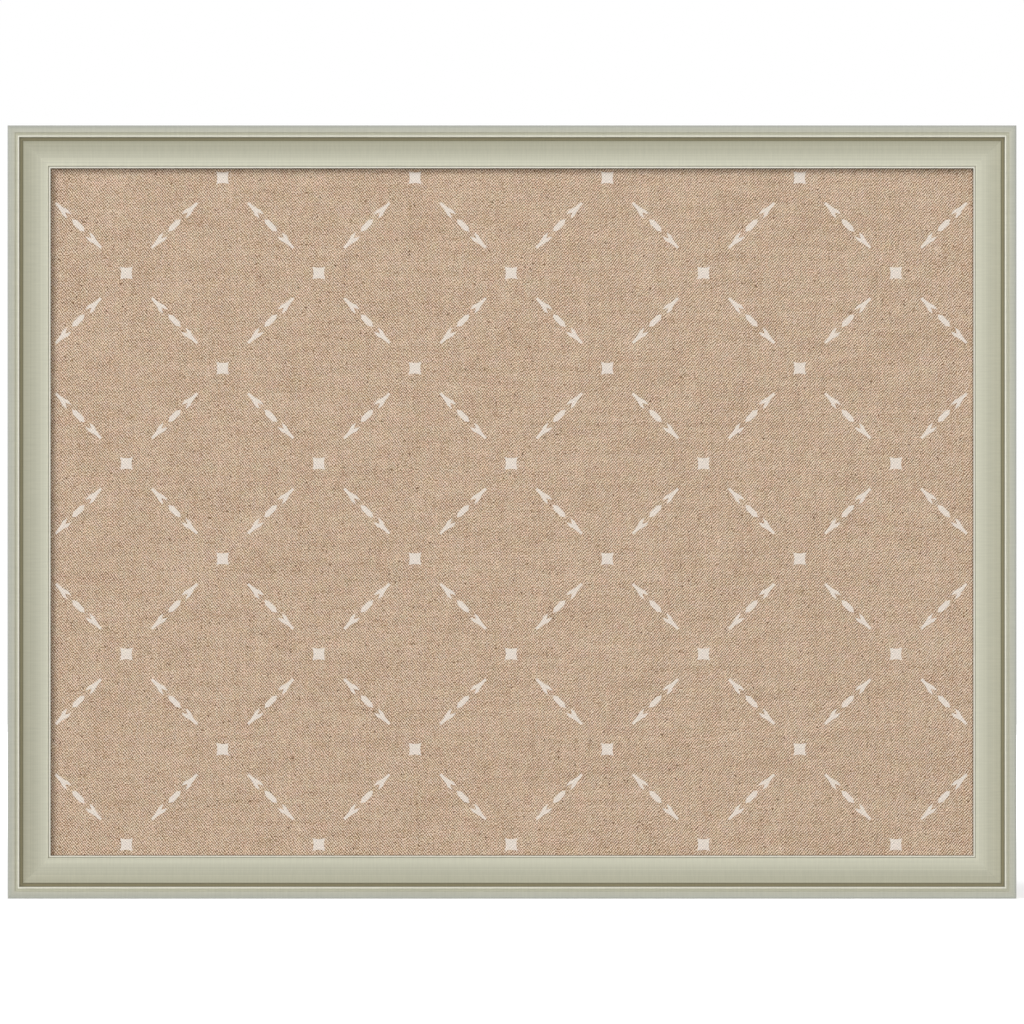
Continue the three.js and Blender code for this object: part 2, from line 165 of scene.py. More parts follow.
# Linen: how light the cloth is, on a scale whose 0 is a dark slub and whose 1 is a thread's pale crown
CLOTH_LIGHT = 0.503
WEFT_LIGHT = 0.3
WARP_LIGHT = 0.7
FIBRE_LIGHT = 0.45
WARP_SLUB_LIGHT = 0.21
WEFT_SLUB_LIGHT = 0.14
BAND_LIGHT = 0.10
STRIPE_LIGHT = 0.06
CLOUD_LIGHT = 0.09
FLECK_DARK = 0.42
SPECK_DARK = 0.9

# Linen: a painted shadow line along the lip, and the finish of the cloth
PAINTED_LIP_SHADOW_EDGES = (0.3 * MM, 0.8 * MM)
PAINTED_LIP_SHADOW = 0.25
CLOTH_ROUGHNESS = 0.92
CLOTH_SHEEN = 0.08

# Linen: the slice of noise that each thing takes, in this order from 1, and the draws that chance makes
LAYERS = (
    "picks", "fine_ends", "warp_slub", "weft_slub", "rosy", "bands", "weft_fleck",
    "thick_ends", "fibre", "cloud", "stripes", "warm", "warp_fleck",
)
LAYER = {name: float(number) for number, name in enumerate(LAYERS, 1)}
SPECK_DRAW = 1.0
GRIP_DRAW = 2.0

# Print: a trellis of squares, with a lozenge between two arrowheads on each diagonal
TRELLIS_WIDTH = 124.5 * MM
TRELLIS_HEIGHT = 123.3 * MM
TRELLIS_PLACE = (-0.55 * MM, 31.4 * MM)
SQUARE_HALF = 4.13 * MM
SQUARE_HOLLOW = 0.7 * MM
LOZENGE_HALF_LENGTH = 5.7 * MM
LOZENGE_HALF_WIDTH = 1.75 * MM
LOZENGE_FLAT = 3.1 * MM
ARROW_TAIL = 8.6 * MM
ARROW_SHOULDER = 11.9 * MM
ARROW_TIP = 20.7 * MM
ARROW_TAIL_HALF_WIDTH = 2.05 * MM
ARROW_HALF_WIDTH = 2.45 * MM
ARROW_TIP_HALF_WIDTH = 0.87 * MM
ARROW_HOLLOW = 2.3
ARROW_NOTCH = 3.35 * MM
ARROW_NOTCH_HALF_WIDTH = 1.75 * MM
INK_EDGE = 0.16 * MM
INK_CREEP = 0.12 * MM
INK_LIGHT = 0.99
INK_FIBRE = 0.16
INK_WEAVE = 0.3
INK_COVER = 0.97
INK_POLISH = 0.1

# Cork, hardboard, zinc plate and rubber
CORK_GRAIN = 2.5 * MM
CORK_DETAIL = 5.0
CORK_EDGES = (-0.5, 0.5)
CORK_ROUGHNESS = 0.9
CORK_DEPTH = 0.2 * MM
BOARD_FIBRE = 1.2 * MM
BOARD_FIBRE_DETAIL = 6.0
BOARD_FIBRE_SHARE = 0.8
BOARD_CLOUD = 45 * MM
BOARD_CLOUD_LAYER = 2.0
BOARD_CLOUD_DETAIL = 3.0
BOARD_CLOUD_SHARE = 0.2
BOARD_EDGES = (-0.6, 0.6)
BOARD_ROUGHNESS = 0.62
BOARD_FIBRE_ROUGHNESS = 0.12
BOARD_DEPTH = 0.03 * MM
ZINC_CLOUD = 4 * MM
ZINC_CLOUD_DETAIL = 3.0
ZINC_CLOUD_SHARE = 0.7
ZINC_CLOUD_ROUGHNESS = 0.1
SCUFF_WIDTH = 0.5 * MM
SCUFF_LENGTH = 2.5 * MM
SCUFF_SHARE = 0.3
SCUFF_ROUGHNESS = 0.05
SCUFF_DEPTH = 0.01 * MM
ZINC_EDGES = (-0.6, 0.6)
ZINC_ROUGHNESS = 0.34
RUBBER_GRAIN = 0.4 * MM
RUBBER_DETAIL = 3.0
RUBBER_DUST = 3 * MM
RUBBER_DUST_EDGES = (-0.2, 0.9)
RUBBER_ROUGHNESS = 0.75
RUBBER_GRAIN_ROUGHNESS = 0.1
RUBBER_DEPTH = 0.03 * MM

# Smoothing of the solids' facets
SMOOTH_ANGLE = math.radians(38)
WELD_DISTANCE = 0.001 * MM

# Studio
FLOOR_HALF = 9.0
KEY_PLACE = (-9.4, -9.9, 9.4)
KEY_SIZE = 6.7
KEY_POWER = 2215.0
FILL_PLACE = (2.6, -12.6, 1.6)
FILL_SIZE = 3.5
FILL_POWER = 595.0
BACK_PLACE = (1.5, 7.0, 2.4)
BACK_SIZE = 5.0
BACK_POWER = 420.0
SKY = 0.10
FLOOR_GLOW = 0.62
GLOW_RISE = (1.2, 3.5)

# A display's standard curve from its values to linear light: straight up to the knee, and a power beyond
DISPLAY_MOST = 255
CURVE_KNEE = 0.04045
CURVE_SLOPE = 12.92
CURVE_SHIFT = 0.055
CURVE_POWER = 2.4


def tone(red, green, blue):
    """A display colour, 0 to 255 each, as the linear colour that a shader takes."""
    def linear(value):
        share = value / DISPLAY_MOST
        if share <= CURVE_KNEE:
            return share / CURVE_SLOPE
        return ((share + CURVE_SHIFT) / (1 + CURVE_SHIFT)) ** CURVE_POWER

    return (linear(red), linear(green), linear(blue), 1.0)


# Moulding tones: painted shade in the groove and quirk, partly a dark glaze, down the scoop and on the lip's
# inner edge, and painted highlights on the arris and bead
RIM = tone(183, 184, 171)
RIM_INNER = tone(190, 189, 174)
RIM_EDGE = tone(180, 182, 174)
HOLLOW = tone(188, 187, 167)
ARRIS_HIGHLIGHT = tone(244, 243, 230)
GROOVE_GLAZE_AND_SHADE = tone(126, 121, 94)
GROOVE_LIGHT = tone(152, 145, 116)
SCOOP_OUTER = tone(180, 178, 157)
SCOOP_MIDDLE = tone(187, 186, 167)
SCOOP_INNER = tone(205, 204, 185)
SCOOP_LIP = tone(218, 217, 198)
QUIRK_GLAZE_AND_SHADE = tone(182, 180, 165)
BEAD_HIGHLIGHT = tone(241, 239, 227)
LIP_EDGE_SHADOW = tone(128, 122, 100)
RAW_WOOD = tone(206, 182, 142)
RAW_WOOD_DARK = tone(184, 155, 113)
SLUB = tone(104, 73, 45)
WEFT = tone(166, 134, 104)
WARP = tone(226, 200, 174)
CROWN = tone(247, 229, 211)
ROSY = (0.037, -0.037, 0.037)
WARM = (0.047, 0.0, -0.047)
INK = tone(235, 224, 214)
CORK_DARK = tone(128, 88, 52)
CORK_LIGHT = tone(196, 156, 108)
BOARD_DARK = tone(92, 62, 40)
BOARD_LIGHT = tone(128, 92, 62)
ZINC_DARK = tone(168, 171, 174)
ZINC_LIGHT = tone(206, 208, 209)
RUBBER_DARK = tone(34, 34, 34)
RUBBER_LIGHT = tone(58, 57, 55)
FLOOR_SEEN = tone(203, 203, 203)
FLOOR_BOUNCE = tone(140, 140, 140)
WHITE = (1.0, 1.0, 1.0, 1.0)


class Field:
    """A number or colour that varies over a surface. Arithmetic on a number adds Math nodes."""

    def __init__(self, paint, socket):
        self.paint = paint
        self.socket = socket

    def __add__(self, other):
        return self.paint.math("ADD", self, other)

    def __radd__(self, other):
        return self.paint.math("ADD", other, self)

    def __sub__(self, other):
        return self.paint.math("SUBTRACT", self, other)

    def __rsub__(self, other):
        return self.paint.math("SUBTRACT", other, self)

    def __mul__(self, other):
        return self.paint.math("MULTIPLY", self, other)

    def __rmul__(self, other):
        return self.paint.math("MULTIPLY", other, self)

    def __truediv__(self, other):
        return self.paint.math("DIVIDE", self, other)

    def __pow__(self, other):
        return self.paint.math("POWER", self, other)

    def __abs__(self):
        return self.paint.math("ABSOLUTE", self)

    def floor(self):
        return self.paint.math("FLOOR", self)

    def sine(self):
        return self.paint.math("SINE", self)

    def least(self, other):
        return self.paint.math("MINIMUM", self, other)

    def most(self, other):
        return self.paint.math("MAXIMUM", self, other)

    def over(self, limit):
        return self.paint.math("GREATER_THAN", self, limit)

    def ramp(self, low, high):
        """0 below low, 1 above high, and a smooth step between."""
        limits = {"Value": self, "From Min": low, "From Max": high}
        return self.paint.add("MapRange", limits, interpolation_type="SMOOTHSTEP")


class Paint:
    """A material or world in the making: short calls that add a node and give back what comes out of it."""

    def __init__(self, owner):
        owner.use_nodes = True
        self.owner = owner
        self.tree = owner.node_tree

    def feed(self, socket, value):
        if isinstance(value, Field):
            self.tree.links.new(value.socket, socket)
        else:
            socket.default_value = value

    def add(self, kind, inputs, output=0, **settings):
        node = self.tree.nodes.new("ShaderNode" + kind)
        for name, value in settings.items():
            setattr(node, name, value)
        for socket, value in inputs.items():
            self.feed(node.inputs[socket], value)
        return Field(self, node.outputs[output])

    def math(self, operation, *values):
        return self.add("Math", dict(enumerate(values)), operation=operation)

    def parts(self, vector):
        split = self.tree.nodes.new("ShaderNodeSeparateXYZ")
        self.feed(split.inputs[0], vector)
        return [Field(self, output) for output in split.outputs]

    def place(self):
        """The point on the surface, in the part's own frame."""
        return self.parts(self.add("TexCoord", {}, "Object"))

    def cloth(self):
        """The point on the cloth as it lay flat before it was stretched, in metres from its middle."""
        return self.parts(self.add("UVMap", {}, uv_map="cloth"))[:2]

    def point(self, first, second, third):
        return self.add("CombineXYZ", {0: first, 1: second, 2: third})

    def noise(self, first, second, third, detail=2.0):
        """Smooth noise from -1 to 1, about 0."""
        inputs = {"Vector": self.point(first, second, third), "Scale": 1.0, "Detail": detail}
        return self.add("TexNoise", inputs) * 2.0 - 1.0

    def chance(self, first, second, third):
        """A number from 0 to 1 that is the same wherever the three given are."""
        return self.add("TexWhiteNoise", {"Vector": self.point(first, second, third)})

    def mix(self, share, first, second, blend_type="MIX"):
        inputs = {0: share, 6: first, 7: second}
        return self.add("Mix", inputs, 2, data_type="RGBA", blend_type=blend_type)

    def shaded(self, colour, brightness):
        """The colour made lighter or darker by a factor."""
        return self.mix(1.0, colour, self.point(brightness, brightness, brightness), "MULTIPLY")

    def tones(self, value, stops):
        """The colour at a place from 0 to 1 along a row of colours."""
        colour = self.add("ValToRGB", {0: value})
        row = colour.socket.node.color_ramp.elements
        row[0].position, row[0].color = stops[0]
        row[1].position, row[1].color = stops[-1]
        for place, stop in stops[1:-1]:
            row.new(place).color = stop
        return colour

    def seen(self):
        """1 for what the camera sees, straight on, in gloss or through glass, and 0 for bounced light."""
        straight = self.add("LightPath", {}, "Is Camera Ray")
        in_gloss = self.add("LightPath", {}, "Is Glossy Ray")
        through = self.add("LightPath", {}, "Is Transmission Ray")
        return straight.most(in_gloss).most(through)

    def finish(self, colour, roughness, height, depth, **others):
        """Wires the surface up: its colour, roughness and relief, and what else the finish sets."""
        sockets = self.tree.nodes["Principled BSDF"].inputs
        self.feed(sockets["Base Color"], colour)
        self.feed(sockets["Roughness"], roughness)
        self.feed(sockets["Normal"], self.add("Bump", {"Height": height, "Distance": depth}))
        for name, value in others.items():
            self.feed(sockets[name.replace("_", " ").title()], value)
        return self.owner


def new_paint(name):
    return Paint(bpy.data.materials.new(name))


def moulding_zones():
    """The tones across the face: painted shade in the groove and quirk, partly a dark glaze, down the scoop
    from its darker outer side and on the lip's inner edge; and painted highlights on the arris and bead.
    """
    hollow = RIM_WIDTH
    arris = hollow + HOLLOW_WIDTH
    groove = arris + ARRIS_WIDTH
    scoop = groove + GROOVE_WIDTH
    bead = MOULDING_WIDTH - LIP_BEAD_WIDTH
    quirk = bead - QUIRK_WIDTH
    zones = [
        (0.0, RIM_EDGE),
        (RIM_CROWN * RIM_WIDTH, RIM),
        (hollow - ZONE_EDGE, RIM_INNER),
        (hollow + ZONE_EDGE, HOLLOW),
        (arris - ZONE_EDGE, HOLLOW),
        # Painted highlight on the arris
        (arris + ARRIS_WIDTH / 2, ARRIS_HIGHLIGHT),
        # Painted shade in the groove, partly a dark glaze
        (groove + 2 * ZONE_EDGE, GROOVE_GLAZE_AND_SHADE),
        (groove + GROOVE_WIDTH / 2, GROOVE_LIGHT),
        (scoop - 2 * ZONE_EDGE, GROOVE_GLAZE_AND_SHADE),
        # Painted shade down the scoop: darker at its steep outer side, paler where it flattens towards the
        # lip
        (scoop + 2 * ZONE_EDGE, SCOOP_OUTER),
        ((scoop + quirk) / 2, SCOOP_MIDDLE),
        (quirk - 3 * ZONE_EDGE, SCOOP_INNER),
        (quirk, SCOOP_LIP),
        # Painted shade in the quirk, partly a dark glaze
        (quirk + QUIRK_WIDTH / 2, QUIRK_GLAZE_AND_SHADE),
        # Painted highlight on the bead
        (bead + LIP_BEAD_WIDTH / 2, BEAD_HIGHLIGHT),
        # A painted shadow line on the lip's inner edge, where it meets the cloth
        (MOULDING_WIDTH - 2 * LIP_EDGE_WIDTH, BEAD_HIGHLIGHT),
        (MOULDING_WIDTH - LIP_EDGE_WIDTH, LIP_EDGE_SHADOW),
        (MOULDING_WIDTH, LIP_EDGE_SHADOW),
    ]
    return [(distance / MOULDING_WIDTH, colour) for distance, colour in zones]


def moulding(name, is_rail, seed):
    """Satin metallic lacquer with fine streaks along the length, and raw wood on the back."""
    paint = new_paint(name)
    x, y, z = paint.place()
    along = x if is_rail else z
    from_side, from_top = SOLID_BOX[1].x - abs(x), SOLID_BOX[1].z - abs(z)
    inward = from_top if is_rail else from_side
    round_face = inward + y
    streaks = paint.noise(round_face / STREAK_WIDTH, along / STREAK_LENGTH, seed, STREAK_DETAIL)
    ticks = paint.noise(round_face / TICK_WIDTH, along / TICK_LENGTH, seed)
    # The lacquer's tones hold painted shade and painted highlights across the face
    lacquer = paint.tones(inward / MOULDING_WIDTH, moulding_zones())
    lacquer = paint.shaded(lacquer, 1.0 + STREAK_SHADE * streaks + TICK_SHADE * ticks)
    grain = paint.noise(inward / GRAIN_WIDTH, along / GRAIN_LENGTH, seed, GRAIN_DETAIL)
    wood = paint.mix(grain.ramp(*GRAIN_EDGES), RAW_WOOD, RAW_WOOD_DARK)
    from_seam = abs(from_side - from_top)
    wood = paint.shaded(wood, (1.0 - SEAM_SHADE) + SEAM_SHADE * from_seam.ramp(0.0, SEAM_WIDTH))
    back_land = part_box(name)[1].y
    back = y.ramp(back_land - BACK_EASE, back_land - BACK_EASE / 4)
    colour = paint.mix(back, lacquer, wood)
    roughness = LACQUER_ROUGHNESS + STREAK_ROUGHNESS * streaks + WOOD_ROUGHNESS * back
    return paint.finish(colour, roughness, streaks, STREAK_DEPTH, metallic=LACQUER_METAL * (1.0 - back))


def trellis(x, z):
    """How far inside the print a point on the cloth lies, in metres; it is below 0 on bare cloth."""
    across = (x - TRELLIS_PLACE[0]) / TRELLIS_WIDTH
    up = (z - TRELLIS_PLACE[1]) / TRELLIS_HEIGHT
    rising, falling = across + up, across - up
    diagonal = math.hypot(TRELLIS_WIDTH, TRELLIS_HEIGHT)
    lean = (TRELLIS_WIDTH / diagonal, TRELLIS_HEIGHT / diagonal)

    def from_crossing(steps):
        return steps - (steps + 0.5).floor()

    def from_middle(steps):
        return steps - steps.floor() - 0.5

    def offset(on_rising, on_falling):
        right = (on_rising + on_falling) * (TRELLIS_WIDTH / 2)
        above = (on_rising - on_falling) * (TRELLIS_HEIGHT / 2)
        return right, above

    def square(right, above):
        right, above = abs(right), abs(above)
        hollow_right = SQUARE_HOLLOW * (1.0 - ((above / SQUARE_HALF) ** 2.0).least(1.0))
        hollow_above = SQUARE_HOLLOW * (1.0 - ((right / SQUARE_HALF) ** 2.0).least(1.0))
        return SQUARE_HALF - (right + hollow_right).most(above + hollow_above)

    def dart(right, above, way):
        length = abs(right * lean[0] + above * (way * lean[1]))
        width = abs(above * lean[0] - right * (way * lean[1]))
        point = (LOZENGE_HALF_LENGTH - length) / (LOZENGE_HALF_LENGTH - LOZENGE_FLAT)
        lozenge = LOZENGE_HALF_WIDTH * point.least(1.0) - width
        taper = ((ARROW_TIP - length) / (ARROW_TIP - ARROW_SHOULDER)).most(0.0) ** ARROW_HOLLOW
        neck = ARROW_TIP_HALF_WIDTH + (ARROW_HALF_WIDTH - ARROW_TIP_HALF_WIDTH) * taper
        flare = (length - ARROW_TAIL) / (ARROW_SHOULDER - ARROW_TAIL)
        barb = ARROW_TAIL_HALF_WIDTH + (ARROW_HALF_WIDTH - ARROW_TAIL_HALF_WIDTH) * flare
        notch = ARROW_NOTCH * (1.0 - width / ARROW_NOTCH_HALF_WIDTH).most(0.0)
        arrow = (neck.least(barb) - width).least(length - ARROW_TAIL - notch).least(ARROW_TIP - length)
        return lozenge.most(arrow)

    squares = square(*offset(from_crossing(rising), from_crossing(falling)))
    rising_darts = dart(*offset(from_middle(rising), from_crossing(falling)), 1.0)
    falling_darts = dart(*offset(from_crossing(rising), from_middle(falling)), -1.0)
    return squares.most(rising_darts).most(falling_darts)


def threads(paint, x, z):
    """How many fine warp ends, thick warp ends and weft picks lie before a point, with their wander."""
    def wander(layer):
        return paint.noise(x / WANDER, z / WANDER, LAYER[layer])

    picks = z / WEFT_PITCH + WEFT_WANDER * wander("picks")
    fine_ends = x / FINE_PITCH + FINE_WANDER * wander("fine_ends")
    thick_ends = x / THICK_PITCH + THICK_WANDER * wander("thick_ends")
    return fine_ends, thick_ends, picks


def weave_height(paint, x, fine_ends, thick_ends, picks):
    """The rise and fall of the weave: the diagonals of its crossings, each crossing gripped by chance."""
    def diagonal(ends, way):
        return ((ends + way * picks) * math.pi).sine()

    grip = GRIP_LEAST + GRIP_SPREAD * paint.chance(fine_ends.floor(), picks.floor(), GRIP_DRAW)
    lean = (FINE_MAJOR - FINE_MINOR) * x.ramp(-LEAN_REACH, LEAN_REACH)
    fine = (FINE_MINOR + lean) * diagonal(fine_ends, -1.0) + (FINE_MAJOR - lean) * diagonal(fine_ends, 1.0)
    weave = fine * grip + THICK_MAJOR * diagonal(thick_ends, -1.0)
    return weave + THICK_MINOR * diagonal(thick_ends, 1.0)


def cloth_light(paint, x, z, end, pick, weave, fibre):
    """How light the cloth is: weave and fibres, slubs, bands and clouds, less dark flecks and specks."""
    warp_slub = paint.noise(end * THREAD_STEP, z / SLUB_LENGTH, LAYER["warp_slub"])
    weft_slub = paint.noise(x / SLUB_LENGTH, pick * THREAD_STEP, LAYER["weft_slub"])
    weft_fleck = paint.noise(x / FLECK_LENGTH, pick * THREAD_STEP, LAYER["weft_fleck"]).ramp(*FLECK_EDGES)
    warp_fleck = paint.noise(end * THREAD_STEP, z / FLECK_LENGTH, LAYER["warp_fleck"]).ramp(*FLECK_EDGES)
    speck = paint.chance(end, pick, SPECK_DRAW).over(1.0 - SPECK_SHARE)
    bands = paint.noise(x / BAND_LENGTH, z / BAND_HEIGHT, LAYER["bands"])
    stripes = paint.noise(x / BAND_HEIGHT, z / BAND_LENGTH, LAYER["stripes"])
    cloud = paint.noise(x / CLOUD, z / CLOUD, LAYER["cloud"], CLOUD_DETAIL)
    light = CLOTH_LIGHT + weave + FIBRE_LIGHT * fibre
    light = light + WARP_SLUB_LIGHT * warp_slub + WEFT_SLUB_LIGHT * weft_slub
    light = light + BAND_LIGHT * bands + STRIPE_LIGHT * stripes + CLOUD_LIGHT * cloud
    return light - FLECK_DARK * weft_fleck.most(warp_fleck) - SPECK_DARK * speck


def tinted(paint, cloth, x, z):
    """The cloth's colour with rosy and warm patches."""
    rosy = paint.noise(x / TINT_PATCH, z / TINT_PATCH, LAYER["rosy"], TINT_DETAIL)
    warm = paint.noise(x / TINT_PATCH, z / TINT_PATCH, LAYER["warm"], TINT_DETAIL)
    tint = paint.point(*(1.0 + pink * rosy + yellow * warm for pink, yellow in zip(ROSY, WARM)))
    return paint.mix(1.0, cloth, tint, "MULTIPLY")


def linen():
    """Plain weave of pale warp and darker weft, with slubs, flecks, tints and the printed trellis."""
    paint = new_paint("printed_linen")
    x, z = paint.cloth()
    fine_ends, thick_ends, picks = threads(paint, x, z)
    weave = weave_height(paint, x, fine_ends, thick_ends, picks)
    fibre = paint.noise(x / FIBRE, z / FIBRE, LAYER["fibre"], FIBRE_DETAIL)
    light = cloth_light(paint, x, z, fine_ends.floor(), picks.floor(), weave, fibre)
    cloth = paint.tones(light, [(0.0, SLUB), (WEFT_LIGHT, WEFT), (WARP_LIGHT, WARP), (1.0, CROWN)])
    cloth = tinted(paint, cloth, x, z)
    # Painted shadow: the cloth darkens in a thin line along the lip's edge
    from_lip = abs((SIGHT_HALF[0] - abs(x)).least(SIGHT_HALF[1] - abs(z)))
    cloth = paint.shaded(cloth, (1.0 - PAINTED_LIP_SHADOW) + PAINTED_LIP_SHADOW * from_lip.ramp(*PAINTED_LIP_SHADOW_EDGES))
    printed = (trellis(x, z) + INK_CREEP * weave).ramp(-INK_EDGE, INK_EDGE)
    ink = paint.shaded(INK, INK_LIGHT + INK_FIBRE * fibre + INK_WEAVE * weave)
    colour = paint.mix(INK_COVER * printed, cloth, ink)
    roughness = CLOTH_ROUGHNESS - INK_POLISH * printed
    return paint.finish(colour, roughness, weave, WEAVE_DEPTH, sheen_weight=CLOTH_SHEEN)


def cork():
    """Pressed cork granules."""
    paint = new_paint("cork")
    x, y, z = paint.place()
    grain = paint.noise(x / CORK_GRAIN, y / CORK_GRAIN, z / CORK_GRAIN, CORK_DETAIL)
    colour = paint.mix(grain.ramp(*CORK_EDGES), CORK_DARK, CORK_LIGHT)
    return paint.finish(colour, CORK_ROUGHNESS, grain, CORK_DEPTH)


def hardboard():
    """Smooth pressed fibre board, with fibres and faint clouds in its brown."""
    paint = new_paint("hardboard")
    x, y, z = paint.place()
    fibre = paint.noise(x / BOARD_FIBRE, z / BOARD_FIBRE, y / BOARD_FIBRE, BOARD_FIBRE_DETAIL)
    cloud = paint.noise(x / BOARD_CLOUD, z / BOARD_CLOUD, BOARD_CLOUD_LAYER, BOARD_CLOUD_DETAIL)
    shade = fibre * BOARD_FIBRE_SHARE + cloud * BOARD_CLOUD_SHARE
    colour = paint.mix(shade.ramp(*BOARD_EDGES), BOARD_DARK, BOARD_LIGHT)
    roughness = BOARD_ROUGHNESS + BOARD_FIBRE_ROUGHNESS * fibre
    return paint.finish(colour, roughness, fibre, BOARD_DEPTH)


def zinc():
    """Zinc-plated steel: a cool silver with soft clouds and fine scuffs."""
    paint = new_paint("zinc_plate")
    x, y, z = paint.place()
    cloud = paint.noise(x / ZINC_CLOUD, y / ZINC_CLOUD, z / ZINC_CLOUD, ZINC_CLOUD_DETAIL)
    scuff = paint.noise(x / SCUFF_WIDTH, y / SCUFF_WIDTH, z / SCUFF_LENGTH)
    shade = cloud * ZINC_CLOUD_SHARE + scuff * SCUFF_SHARE
    colour = paint.mix(shade.ramp(*ZINC_EDGES), ZINC_DARK, ZINC_LIGHT)
    roughness = ZINC_ROUGHNESS + ZINC_CLOUD_ROUGHNESS * cloud + SCUFF_ROUGHNESS * scuff
    return paint.finish(colour, roughness, scuff, SCUFF_DEPTH, metallic=1.0)


def rubber():
    """Matt black rubber with a trace of dust."""
    paint = new_paint("rubber")
    x, y, z = paint.place()
    grain = paint.noise(x / RUBBER_GRAIN, y / RUBBER_GRAIN, z / RUBBER_GRAIN, RUBBER_DETAIL)
    dust = paint.noise(x / RUBBER_DUST, y / RUBBER_DUST, z / RUBBER_DUST)
    colour = paint.mix(dust.ramp(*RUBBER_DUST_EDGES), RUBBER_DARK, RUBBER_LIGHT)
    roughness = RUBBER_ROUGHNESS + RUBBER_GRAIN_ROUGHNESS * grain
    return paint.finish(colour, roughness, grain, RUBBER_DEPTH)


def dress(name, material):
    """Gives a solid its finish, and shades its rounded faces smooth without moving a point."""
    node = frame["nodes"][name]
    node.data.materials.clear()
    node.data.materials.append(material)
    for face in node.data.polygons:
        face.use_smooth = True
    node.modifiers.new("weld", "WELD").merge_threshold = WELD_DISTANCE
    node.modifiers.new("edges", "EDGE_SPLIT").split_angle = SMOOTH_ANGLE


def dress_solids():
    """Gives every solid but the cloth its finish."""
    sides = {"top_rail": True, "bottom_rail": True, "left_stile": False, "right_stile": False}
    for number, (name, is_rail) in enumerate(sides.items()):
        dress(name, moulding(name, is_rail, SIDE_APART * number))
    dress("cork_sheet", cork())
    dress("backer_board", hardboard())
    by_slot = {"steel": zinc(), "rubber": rubber()}
    for row in frame["record"]["subparts"]:
        if row["material_slot"] in by_slot:
            dress(row["node"], by_slot[row["material_slot"]])


def put_in_scene(name, data):
    """A new object in the scene."""
    holder = bpy.data.objects.new(name, data)
    bpy.context.scene.collection.objects.link(holder)
    return holder


# The cloth's rows of points go round the panel: along each side in turn, and out from the panel's middle
SIDES = (((1, 0), (0, 1)), ((0, -1), (1, 0)), ((-1, 0), (0, -1)), ((0, 1), (-1, 0)))


def cloth_section(depth, inset):
    """One face of the cloth, from the front round the edge to the cut behind: distance in, and depth."""
    radius = EDGE_ROUND - inset
    turns = [math.pi / 2 * step / ROUND_STEPS for step in range(ROUND_STEPS + 1)]
    arc = [(radius * math.sin(turn), radius * math.cos(turn)) for turn in turns]
    front = [(inward, inset) for inward in FRONT_ROWS]
    edge = [(EDGE_ROUND - sine, EDGE_ROUND - cosine) for sine, cosine in arc]
    heel = [(EDGE_ROUND - cosine, depth - EDGE_ROUND + sine) for sine, cosine in arc]
    flap = [(inward, depth - inset) for inward in FLAP_ROWS]
    return front + edge + heel + flap


def side_count(half, side):
    """How many spaces a row has along the middle of one side."""
    return round(2 * half[side % 2] / POINT_SPACING)


def side_places(half_length, count):
    """Where a row's points stand along one side: close together near its two corners."""
    start = [near - half_length for near in NEAR_CORNER]
    span = -2 * start[-1]
    middle = [start[-1] + span * step / count for step in range(1, count)]
    return start + middle + [-place for place in reversed(start[1:])]


def clamped(value):
    return min(max(value, 0.0), 1.0)


def fold_lift(near, inward):
    """How far a corner's folded-in tip lifts the flap, with a crease where two flaps meet."""
    spread = clamped((FOLD_REACH - near) / FOLD_FADE)
    start = clamped((inward - EDGE_ROUND) / FOLD_FADE)
    crease = clamped(CREASE_FLOOR + near / CREASE_WIDTH)
    return FOLD_RISE * spread * start * crease


def cut_wave(place):
    """How far the hand-cut edge strays from a straight line."""
    return CUT_WAVE * math.prod(math.sin(2 * math.pi * place / length) for length in CUT_WAVE_LENGTHS)


def cloth_row(half, inward, is_flap):
    """One row of points right round the panel: x, z and the lift of its folds."""
    row = []
    radius = max(CORNER_ROUND - inward, CLOTH_THICKNESS / 4)
    for side, (along, out) in enumerate(SIDES):
        half_length = half[side % 2] - inward
        reach = half[1 - side % 2] - inward
        for place in side_places(half_length, side_count(half, side)):
            near = half_length - abs(place)
            turn = math.pi / 4 * clamped(1 - near / radius)
            if turn > 0:
                place = math.copysign(half_length - radius * (1 - math.sin(turn)), place)
            level = reach - radius * (1 - math.cos(turn))
            if is_flap and inward > WAVE_START:
                level += cut_wave(place)
            lift = fold_lift(near, inward) if is_flap else 0.0
            row.append((along[0] * place + out[0] * level, along[1] * place + out[1] * level, lift))
    return row


def row_sides(half):
    """The side of the panel that each point of a row stands on."""
    sides = []
    for side in range(len(SIDES)):
        sides += [side] * len(side_places(half[side % 2], side_count(half, side)))
    return sides


def travel(section):
    """How far past the panel's edge the cloth has gone at each point of its section, below 0 in front."""
    gone = [-FRONT_ROWS[0]]
    for before, after in zip(section, section[1:]):
        gone.append(gone[-1] + math.dist(before, after))
    return gone


def laid_flat(spot, side, half, gone):
    """Where a point lay on the flat cloth: along its side, and as far out as the cloth has gone."""
    along, out = SIDES[side]
    place = along[0] * spot.x + along[1] * spot.z
    away = half[1 - side % 2] + gone
    return (along[0] * place + out[0] * away, along[1] * place + out[1] * away)


def on_map(flat, is_inside):
    """Where a point of the flat cloth lies on the bake map: the outside large, the hidden inside small."""
    scale, centre = INSIDE_ON_MAP if is_inside else OUTSIDE_ON_MAP
    return (centre[0] + scale * flat[0], centre[1] + scale * flat[1])


